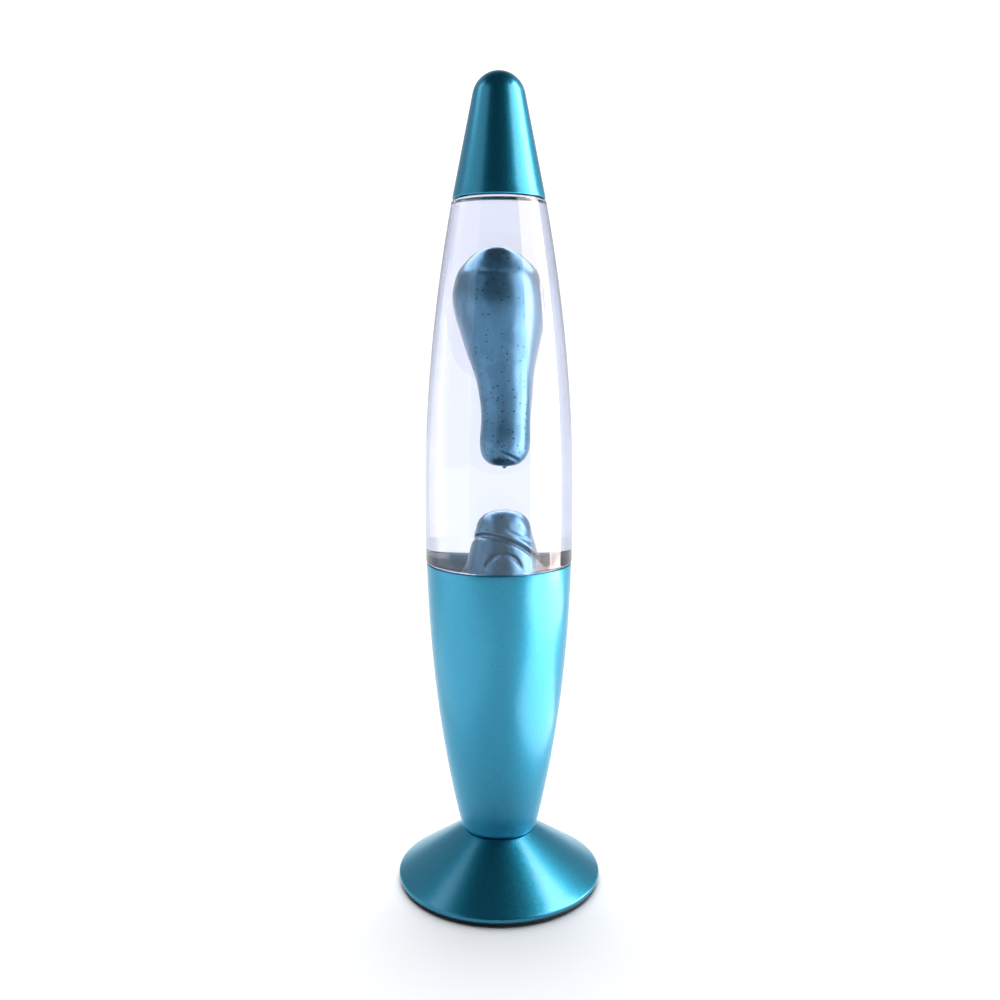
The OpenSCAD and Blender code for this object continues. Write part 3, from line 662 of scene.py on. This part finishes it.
def footSide(inset):
    s = footShape
    rise = s["top"] - s["hemHeight"] - s["topEdge"] / 2
    lean = math.degrees(math.atan2(s["rimRadius"] - s["topRadius"], rise))
    hemCentre = s["rimRadius"] - s["hemRadius"]
    hem = arcPoints(hemCentre, s["base"] + s["hemRadius"], s["hemRadius"] - inset, -90, 0)
    shoulder = arcPoints(hemCentre, s["hemHeight"], s["hemRadius"] - inset, 0, lean)
    top = arcPoints(s["topRadius"] - s["topEdge"], s["top"] - s["topEdge"], s["topEdge"] - inset, lean, 90)
    return hem + shoulder + between(shoulder[-1], top[0], 10) + top


def cutHole(piece, radius, length, place):
    bm = bmesh.new()
    bmesh.ops.create_cone(bm, cap_ends=True, segments=64, radius1=radius, radius2=radius, depth=length,
                          matrix=Matrix.Translation(place) @ Matrix.Rotation(math.radians(90), 4, "X"))
    mesh = bpy.data.meshes.new("cutter")
    bm.to_mesh(mesh)
    bm.free()
    cutter = bpy.data.objects.new("cutter", mesh)
    scene.collection.objects.link(cutter)
    cut = piece.modifiers.new("hole", "BOOLEAN")
    cut.operation = "DIFFERENCE"
    cut.solver = "EXACT"
    cut.object = cutter
    bpy.context.view_layer.update()
    result = bpy.data.meshes.new_from_object(piece.evaluated_get(bpy.context.evaluated_depsgraph_get()))
    piece.modifiers.clear()
    bm = bmesh.new()
    bm.from_mesh(result)
    markSharp(bm, metalSharp)
    bm.to_mesh(piece.data)
    bm.free()
    bpy.data.objects.remove(cutter)


def makeFoot():
    s = footShape
    flange = s["rimRadius"] - s["hemWidth"]
    wall = footSide(0) + [(s["tubeHole"], s["top"]), (s["tubeHole"], s["top"] - s["sheet"])]
    wall += footSide(s["sheet"])[::-1] + [(flange, s["base"] + s["sheet"]), (flange, s["base"])]
    foot = makePiece(spinOutline(wall, s["sides"]), "footShell", "base", "teal_paint", ["tealPaint"], "foot")
    cutPlace = Vector((0, s["rimRadius"] - s["cordInset"], s["cordHeight"])) * mm
    cutHole(foot, s["cordHole"] * mm, s["cordCut"] * mm, cutPlace)


makeFoot()


# Cup: a spun vase with a rounded lip

cupLow, cupHigh = (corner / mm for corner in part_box("cup"))

cupShape = {
    "floor": cupLow.z,
    "rim": cupHigh.z,
    "sheet": 0.9,
    "floorThickness": 1.2,
    "bottomEdge": 3.2,
    "bottomEdgeEnd": -17,     # degrees at which the bottom's round edge meets the wall
    "insideStart": 1.0,
    "insideEdge": 0.6,
    "tubeHole": 5.05,
    "sides": 192,
}


def makeCup():
    s = cupShape
    low, high = s["floor"] + s["bottomEdge"], s["rim"] - s["sheet"] / 2
    outside = [(outlineRadius(z), z) for z in spread(low, high, 40)]
    inside = [(outlineRadius(z) - s["sheet"], z) for z in spread(high, low + s["insideStart"], 40)]
    corner = arcPoints(outlineRadius(low) - s["bottomEdge"], low, s["bottomEdge"], -90, s["bottomEdgeEnd"])
    lip = arcPoints(outlineRadius(high) - s["sheet"] / 2, high, s["sheet"] / 2, 15, 165)
    wall = [(s["tubeHole"], s["floor"])] + corner + outside + lip + inside
    floorTop = s["floor"] + s["floorThickness"]
    wall += [(outlineRadius(low) - s["sheet"] - s["insideEdge"], floorTop), (s["tubeHole"], floorTop)]
    makePiece(spinOutline(wall, s["sides"]), "cupShell", "base", "teal_paint", ["tealPaint"], "cup")


makeCup()


# Cap: a spun cone with a rolled lip and a round tip

capLow, capHigh = (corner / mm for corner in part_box("cap"))

capShape = {
    "rim": capLow.z,
    "tip": capHigh.z,
    "rimRadius": 22.2,
    "taper": 0.2027,
    "lip": 0.55,
    "sheet": 0.9,
    "sides": 192,
}


def capSide(inset):
    s = capShape
    slope = math.atan(s["taper"])
    dome = (s["rimRadius"] - s["taper"] * (s["tip"] - s["rim"])) / (1 / math.cos(slope) - s["taper"])
    crown = arcPoints(0, s["tip"] - dome, dome - inset, math.degrees(slope), 90, 32)
    return between((s["rimRadius"] - inset, s["rim"] + s["lip"]), crown[0], 12) + crown


def makeCap():
    s = capShape
    lip = arcPoints(s["rimRadius"] - s["lip"], s["rim"] + s["lip"], s["lip"], -180, 0, 12)
    wall = lip + capSide(0) + capSide(s["sheet"])[::-1]
    wall = [(max(r, 0), z) for r, z in wall]
    makePiece(spinOutline(wall, s["sides"]), "capShell", "cap", "teal_paint", ["tealPaint"], "cap")


makeCap()


# Bottle and liquid

bottleLow, bottleHigh = (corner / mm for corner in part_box("bottle"))
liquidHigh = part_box("liquid")[1] / mm

bottleShape = {
    "base": bottleLow.z,
    "mouth": bottleHigh.z,
    "wall": 2.2,
    "baseRound": 6.0,
    "punt": [(0, 3), (8, 2.6), (15, 1.4), (19, 0.3)],   # how far the middle of the base is pushed up
    "floorRise": [(0, 3.4), (8, 2.9), (16, 1.6)],       # the same inside
    "floorRound": 4,
    "floorRoundHeight": 4.6,
    "sideStart": 2,           # from the round base up to where the inner wall follows the outer
    "cupGap": 1.2,            # from the lamp's outline to the glass inside the cup
    "opening": 8,             # height over which the bore widens at the cup's rim
    "seat": cupShape["rim"] + 0.3,
    "seatRound": 1.2,
    "seatStep": 0.7,
    "wallStart": 3,           # from the seat up to where the wall above it begins
    "shoulder": 341.3,
    "sideEnd": 3.5,
    "shoulderEdge": 2.0,
    "registerRadius": 20.1,
    "registerHeight": 2.2,
    "neckRadius": 11.6,
    "neckRun": 11.0,
    "neckBore": 9.3,
    "neckBend": (-3, 9),      # from the shoulder to the ends of the bend inside
    "mouthEdge": 0.5,
    "wetFrom": 8,             # from the base up to the lowest glass that counts as wet
    "wetTo": -4,              # from the shoulder to the highest
    "boreSlack": 0.3,
    "sides": 192,
}


def smoothStep(value):
    value = min(1, max(0, value))
    return value * value * (3 - 2 * value)


def boreRadius(height):
    s = bottleShape
    opening = smoothStep((height - cupShape["rim"] + s["opening"] / 2) / s["opening"])
    return (1 - opening) * (outlineRadius(height) - s["cupGap"]) + opening * glassRadius(height) - s["wall"]


# The inside of the bottle from the middle of its floor to the neck, pushed outwards by grow
def borePoints(top, grow=0):
    s = bottleShape
    floor = s["base"] + s["wall"] - grow
    low, high = s["base"] + s["baseRound"] + s["sideStart"], s["shoulder"] - s["sideEnd"]
    points = curvePoints([(r, floor + rise) for r, rise in s["floorRise"]], 6)
    points += arcPoints(boreRadius(low) - s["floorRound"], floor + s["floorRoundHeight"],
                        s["floorRound"] + grow, -90, -4, 12)
    points += [(boreRadius(z) + grow, z) for z in spread(low, min(top, high), 64)]
    if top > high:
        bendLow, bendHigh = (s["shoulder"] + offset for offset in s["neckBend"])
        neck = bendPoints(boreRadius(high), bendLow, s["neckBore"], bendHigh, 24)
        points += [(r + grow, z) for r, z in neck if z < top]
    return points


# Faces of the inner wall below the liquid's level, which look towards the axis
def isWet(face):
    s = bottleShape
    middle = face.calc_center_median() / mm
    inside = math.hypot(middle.x, middle.y) < boreRadius(middle.z) + s["boreSlack"]
    covered = s["base"] + s["wetFrom"] < middle.z < min(s["shoulder"] + s["wetTo"], liquidHigh.z)
    return inside and covered and middle.dot(face.normal) < 0


def makeBottle():
    s = bottleShape
    low = s["base"] + s["baseRound"]
    side = outlineRadius(low) - s["cupGap"]
    seatRadius = outlineRadius(s["seat"]) - s["cupGap"]
    neckFoot = s["shoulder"] + s["neckRun"]
    edgeHeight = s["shoulder"] - s["shoulderEdge"]
    wall = curvePoints([(r, s["base"] + rise) for r, rise in s["punt"]], 6)
    wall += arcPoints(side - s["baseRound"], low, s["baseRound"], -90, -4, 16)
    wall += [(outlineRadius(z) - s["cupGap"], z) for z in spread(low, s["seat"] - s["seatStep"], 24)]
    wall += [(seatRadius, s["seat"])]
    wall += arcPoints(lampOutline["bellyRadius"] - s["seatRound"], s["seat"] + s["seatRound"],
                      s["seatRound"], -80, 0, 10)
    wall += [(glassRadius(z), z) for z in spread(s["seat"] + s["wallStart"], edgeHeight, 64)]
    wall += arcPoints(glassRadius(edgeHeight) - s["shoulderEdge"], edgeHeight, s["shoulderEdge"], 15, 90, 10)
    wall += bendPoints(s["registerRadius"], s["shoulder"] + s["registerHeight"],
                       s["neckRadius"], neckFoot, 20)
    wall += [(s["neckRadius"], s["mouth"] - s["mouthEdge"]), (s["neckRadius"] - s["mouthEdge"], s["mouth"]),
             (s["neckBore"], s["mouth"])]
    wall += borePoints(s["mouth"] - 1)[::-1]
    bm = spinOutline(wall, s["sides"], closed=False)
    for face in bm.faces:
        face.material_index = int(isWet(face))
    makePiece(bm, "glassBottle", "bottle", "bottle_glass", ["bottleGlass", "wetGlass"], "bottle",
              sharpAngle=40)


liquidShape = {
    "overlap": 0.12,          # how far the liquid reaches into the glass, so that no air shows between
    "meniscus": 0.9,          # how far the level dips in the middle of the neck
    "meniscusRun": 1.2,
    "sides": 192,
}


def makeLiquid():
    s = liquidShape
    side = borePoints(liquidHigh.z, s["overlap"])
    rim, level = bottleShape["neckBore"], liquidHigh.z
    skin = curvePoints([(rim + s["overlap"], level), (rim - s["meniscusRun"], level - s["meniscus"] * 0.8),
                        (rim * 0.5, level - s["meniscus"]), (0, level - s["meniscus"])], 5)
    makePiece(spinOutline(side + skin, s["sides"], closed=False), "lampLiquid", "bottle", "liquid",
              ["lampLiquid"], "liquid", sharpAngle=60)


makeBottle()
makeLiquid()


# Wax

poolShape = {
    "edge": 147.0,            # where the pool meets the glass
    "edgeBlend": (0.4, 0.5),  # the skin's first step inwards and up from the glass
    "shore": (27.0, 0.9),     # radius, and rise above the edge, where the skin turns up to the mound
    "mound": [(19.4, 151.5), (16.6, 158.0), (14.4, 165.5), (12.6, 173.0), (11.2, 180.0), (10.0, 186.8),
              (7.4, 191.2), (3.6, 193.5), (0.0, 194.0)],
    "clear": 0.05,            # liquid film between wax and glass
    "lean": 1.6,
    "calmBelow": 2,           # from the edge up to where the mound's relief starts
    "calmAbove": 193.5,       # the creases have faded out at this height
    "front": 1.9,             # half the turn, in radians, over which the creases run
    "fadeIn": 8,
    "fadeOut": 6,
    "lumps": 0.09,            # per millimetre
    "lumpHeight": 0.5,
    "sides": 192,
}

# Creases run round the wax, falling to the right; line is their height at the front, and they
# fade in from the turn called start
creaseFade = 0.5
moundCreases = [
    {"line": 180.5, "rise": -3.9, "bow": -2.7, "width": 1.6, "depth": 1.7, "lip": 0.5, "start": -4},
    {"line": 186.0, "rise": -6.5, "bow": 0.0, "width": 0.9, "depth": 0.5, "lip": 0.2, "start": -0.1},
]

# A round swelling on the front of the mound, under an arched groove
moundDome = {
    "turn": 0.02,
    "height": 166.5,
    "radius": 6.4,
    "perTurn": 13.5,          # millimetres along the skin for one radian
    "swell": 0.5,
    "grooveDepth": 1.1,
    "grooveAt": 1.1,          # in dome radii, like its width
    "grooveWidth": 0.13,
    "grooveFrom": 165,
    "grooveFade": 5,
}


def creaseDepth(turn, height, crease):
    bent = crease["line"] + crease["rise"] * turn + crease["bow"] * turn ** 2
    offset = (height - bent) / crease["width"]
    dip = crease["lip"] * math.exp(-(offset - 1.5) ** 2) - crease["depth"] * math.exp(-offset ** 2 * 2.2)
    return dip * smoothStep((turn - crease["start"]) / creaseFade)


def domeHeight(turn, height):
    d = moundDome
    away = math.hypot((turn - d["turn"]) * d["perTurn"], height - d["height"]) / d["radius"]
    groove = math.exp(-((away - d["grooveAt"]) / d["grooveWidth"]) ** 2)
    groove *= smoothStep((height - d["grooveFrom"]) / d["grooveFade"])
    return d["swell"] * math.exp(-away ** 4) - d["grooveDepth"] * groove


def lumpAt(x, y, z, perMillimetre, height):
    return noise.noise(Vector((x, y, z)) * perMillimetre) * height


def sculptMound(bm):
    s = poolShape
    start = s["edge"] + s["calmBelow"]
    for vert in bm.verts:
        x, y, z = (value / mm for value in vert.co)
        radius = math.hypot(x, y)
        if z < start or radius < 0.01:
            continue
        turn = math.atan2(x, -y)  # 0 at the front, growing to the right
        raised = smoothStep((z - start) / s["fadeIn"])
        topFade = smoothStep((s["calmAbove"] - z) / s["fadeOut"])
        front = math.exp(-(turn / s["front"]) ** 4)
        relief = sum(creaseDepth(turn, z, crease) for crease in moundCreases) + domeHeight(turn, z)
        lump = lumpAt(x, y, z, s["lumps"], s["lumpHeight"])
        grow = 1 + (relief * front * topFade + lump) * raised / radius
        vert.co = Vector((x * grow + s["lean"] * raised, y * grow, z)) * mm


def makePool():
    s = poolShape
    under = [(max(r - s["clear"], 0), z + s["clear"]) for r, z in borePoints(s["edge"])]
    (inwards, up), (shore, rise) = s["edgeBlend"], s["shore"]
    skin = [(under[-1][0] - inwards, s["edge"] + up)]
    skin += curvePoints([(shore, s["edge"] + rise), *s["mound"]], 14)
    bm = spinOutline(under + skin, s["sides"], closed=False)
    sculptMound(bm)
    makePiece(bm, "waxMound", "bottle", "pearl_wax", ["pearlWax"], "wax_pool", sharpAngle=70)


blobShape = {
    "droplet": [(0.0, 213.9), (0.55, 214.05), (0.7, 214.5), (0.9, 214.9)],
    "outline": [(1.7, 215.05), (5.2, 216.0), (8.2, 219.6), (9.4, 226.5), (9.2, 240.0), (10.4, 256.0),
                (13.6, 271.0), (16.3, 286.0), (16.8, 296.0), (15.4, 304.0), (13.0, 309.0), (8.2, 314.8),
                (4.2, 317.6), (0.0, 318.6)],
    "centres": [(214, 2.0), (243, 2.7), (275, 0.9), (300, -0.1), (318.6, -0.7)],   # height and sideways place
    "lumps": 0.05,            # per millimetre
    "lumpHeight": 0.3,
    "fold": {"line": 221.5, "rise": -4.4, "bow": 0.0, "width": 1.1, "depth": 0.35, "lip": 0.15, "start": -4},
    "foldTurn": -0.1,
    "foldWidth": 1.2,
    "sides": 200,
}


def centreAt(height, centres):
    for (lowZ, lowX), (highZ, highX) in zip(centres, centres[1:]):
        if height <= highZ:
            return lowX + (highX - lowX) * smoothStep((height - lowZ) / (highZ - lowZ))
    return centres[-1][1]


def makeBlob():
    s = blobShape
    outline = [(max(r, 0), z) for r, z in curvePoints(s["droplet"], 3) + curvePoints(s["outline"], 10)]
    bm = spinOutline(outline, s["sides"], closed=False)
    for vert in bm.verts:
        x, y, z = (value / mm for value in vert.co)
        radius = math.hypot(x, y)
        turn = math.atan2(x, -y)
        lump = lumpAt(x, y, z, s["lumps"], s["lumpHeight"])
        fold = creaseDepth(turn, z, s["fold"]) * math.exp(-((turn - s["foldTurn"]) / s["foldWidth"]) ** 4)
        grow = 1 + (lump + fold) / max(radius, 3)
        vert.co = Vector((x * grow + centreAt(z, s["centres"]), y * grow, z)) * mm
    makePiece(bm, "floatingWax", "floating_wax", "pearl_wax", ["pearlWax"], "wax_blob", sharpAngle=70)


makePool()
makeBlob()


# Bulb envelope: neck, flared mirror and frosted face

bulbLow, bulbHigh = (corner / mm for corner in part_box("bulb_glass"))

bulbShape = {
    "radius": bulbHigh.x,
    "face": bulbHigh.z,
    "low": bulbLow.z,
    "neckRadius": 5.9,
    "flareLow": 78.55,
    "edge": 5.0,
    "faceDepth": 8.5,
    "wall": 0.7,
    "sides": 160,
}


def bulbSkin(inset):
    s = bulbShape
    inner = s["radius"] - s["edge"]
    curve = (inner ** 2 - s["edge"] ** 2 + s["faceDepth"] ** 2) / (2 * (s["faceDepth"] - s["edge"]))
    corner = math.degrees(math.atan2(curve - s["faceDepth"], inner))
    rim = s["face"] - s["faceDepth"]
    skin = [(s["neckRadius"] - inset, s["low"])]
    skin += bendPoints(s["neckRadius"] - inset, s["flareLow"], s["radius"] - inset, rim - 1, 28)
    skin += arcPoints(inner, rim, s["edge"] - inset, 0, corner, 10)
    return skin + arcPoints(0, s["face"] - curve, curve - inset, corner, 90, 14)[1:]


def makeBulb():
    s = bulbShape
    wall = [(max(r, 0), z) for r, z in bulbSkin(0) + bulbSkin(s["wall"])[::-1]]
    bm = spinOutline(wall, s["sides"])
    mirrorTop = (s["face"] - s["faceDepth"] + 1) * mm
    for face in bm.faces:
        face.material_index = int(face.calc_center_median().z > mirrorTop)
    makePiece(bm, "bulbEnvelope", "bulb", "bulb_glass", ["mirroredGlass", "frostedGlass"], "bulb_glass")


makeBulb()


# Finishes of the CAD parts that stay as they are

cadFinishes = {
    "grip_ring": "blackRubber",
    "cord_grommet": "blackRubber",
    "base_plate": "blackPlastic",
    "plate_screws": "zincSteel",
    "screw_bosses": "zincSteel",
    "threaded_tube": "zincSteel",
    "tube_nuts": "zincSteel",
    "lock_washers": "zincSteel",
    "holder_base": "blackPlastic",
    "holder_shell": "blackPlastic",
    "holder_insert": "whitePlastic",
    "screw_contact": "brass",
    "centre_contact": "brass",
    "holder_terminals": "brass",
    "live_lead": "brownWire",
    "neutral_lead": "blueWire",
    "terminal_block": "whitePlastic",
    "terminal_sleeves": "brass",
    "terminal_screws": "zincSteel",
    "block_screw": "zincSteel",
    "bulb_tip": "solder",
    "bulb_screw_shell": "bulbMetal",
    "bulb_insulator": "blackGlass",
    "bulb_stem": "stemGlass",
    "support_wires": "nickel",
    "filament": "tungsten",
    "closure": "tinPlate",
    "closure_liner": "linerFoam",
    "heat_coil": "zincSteel",
}

for nodeName, finish in cadFinishes.items():
    slots = cadNodes[nodeName].data.materials
    slots.clear()
    slots.append(materials[finish])
print("CAD finishes set:", len(cadFinishes))
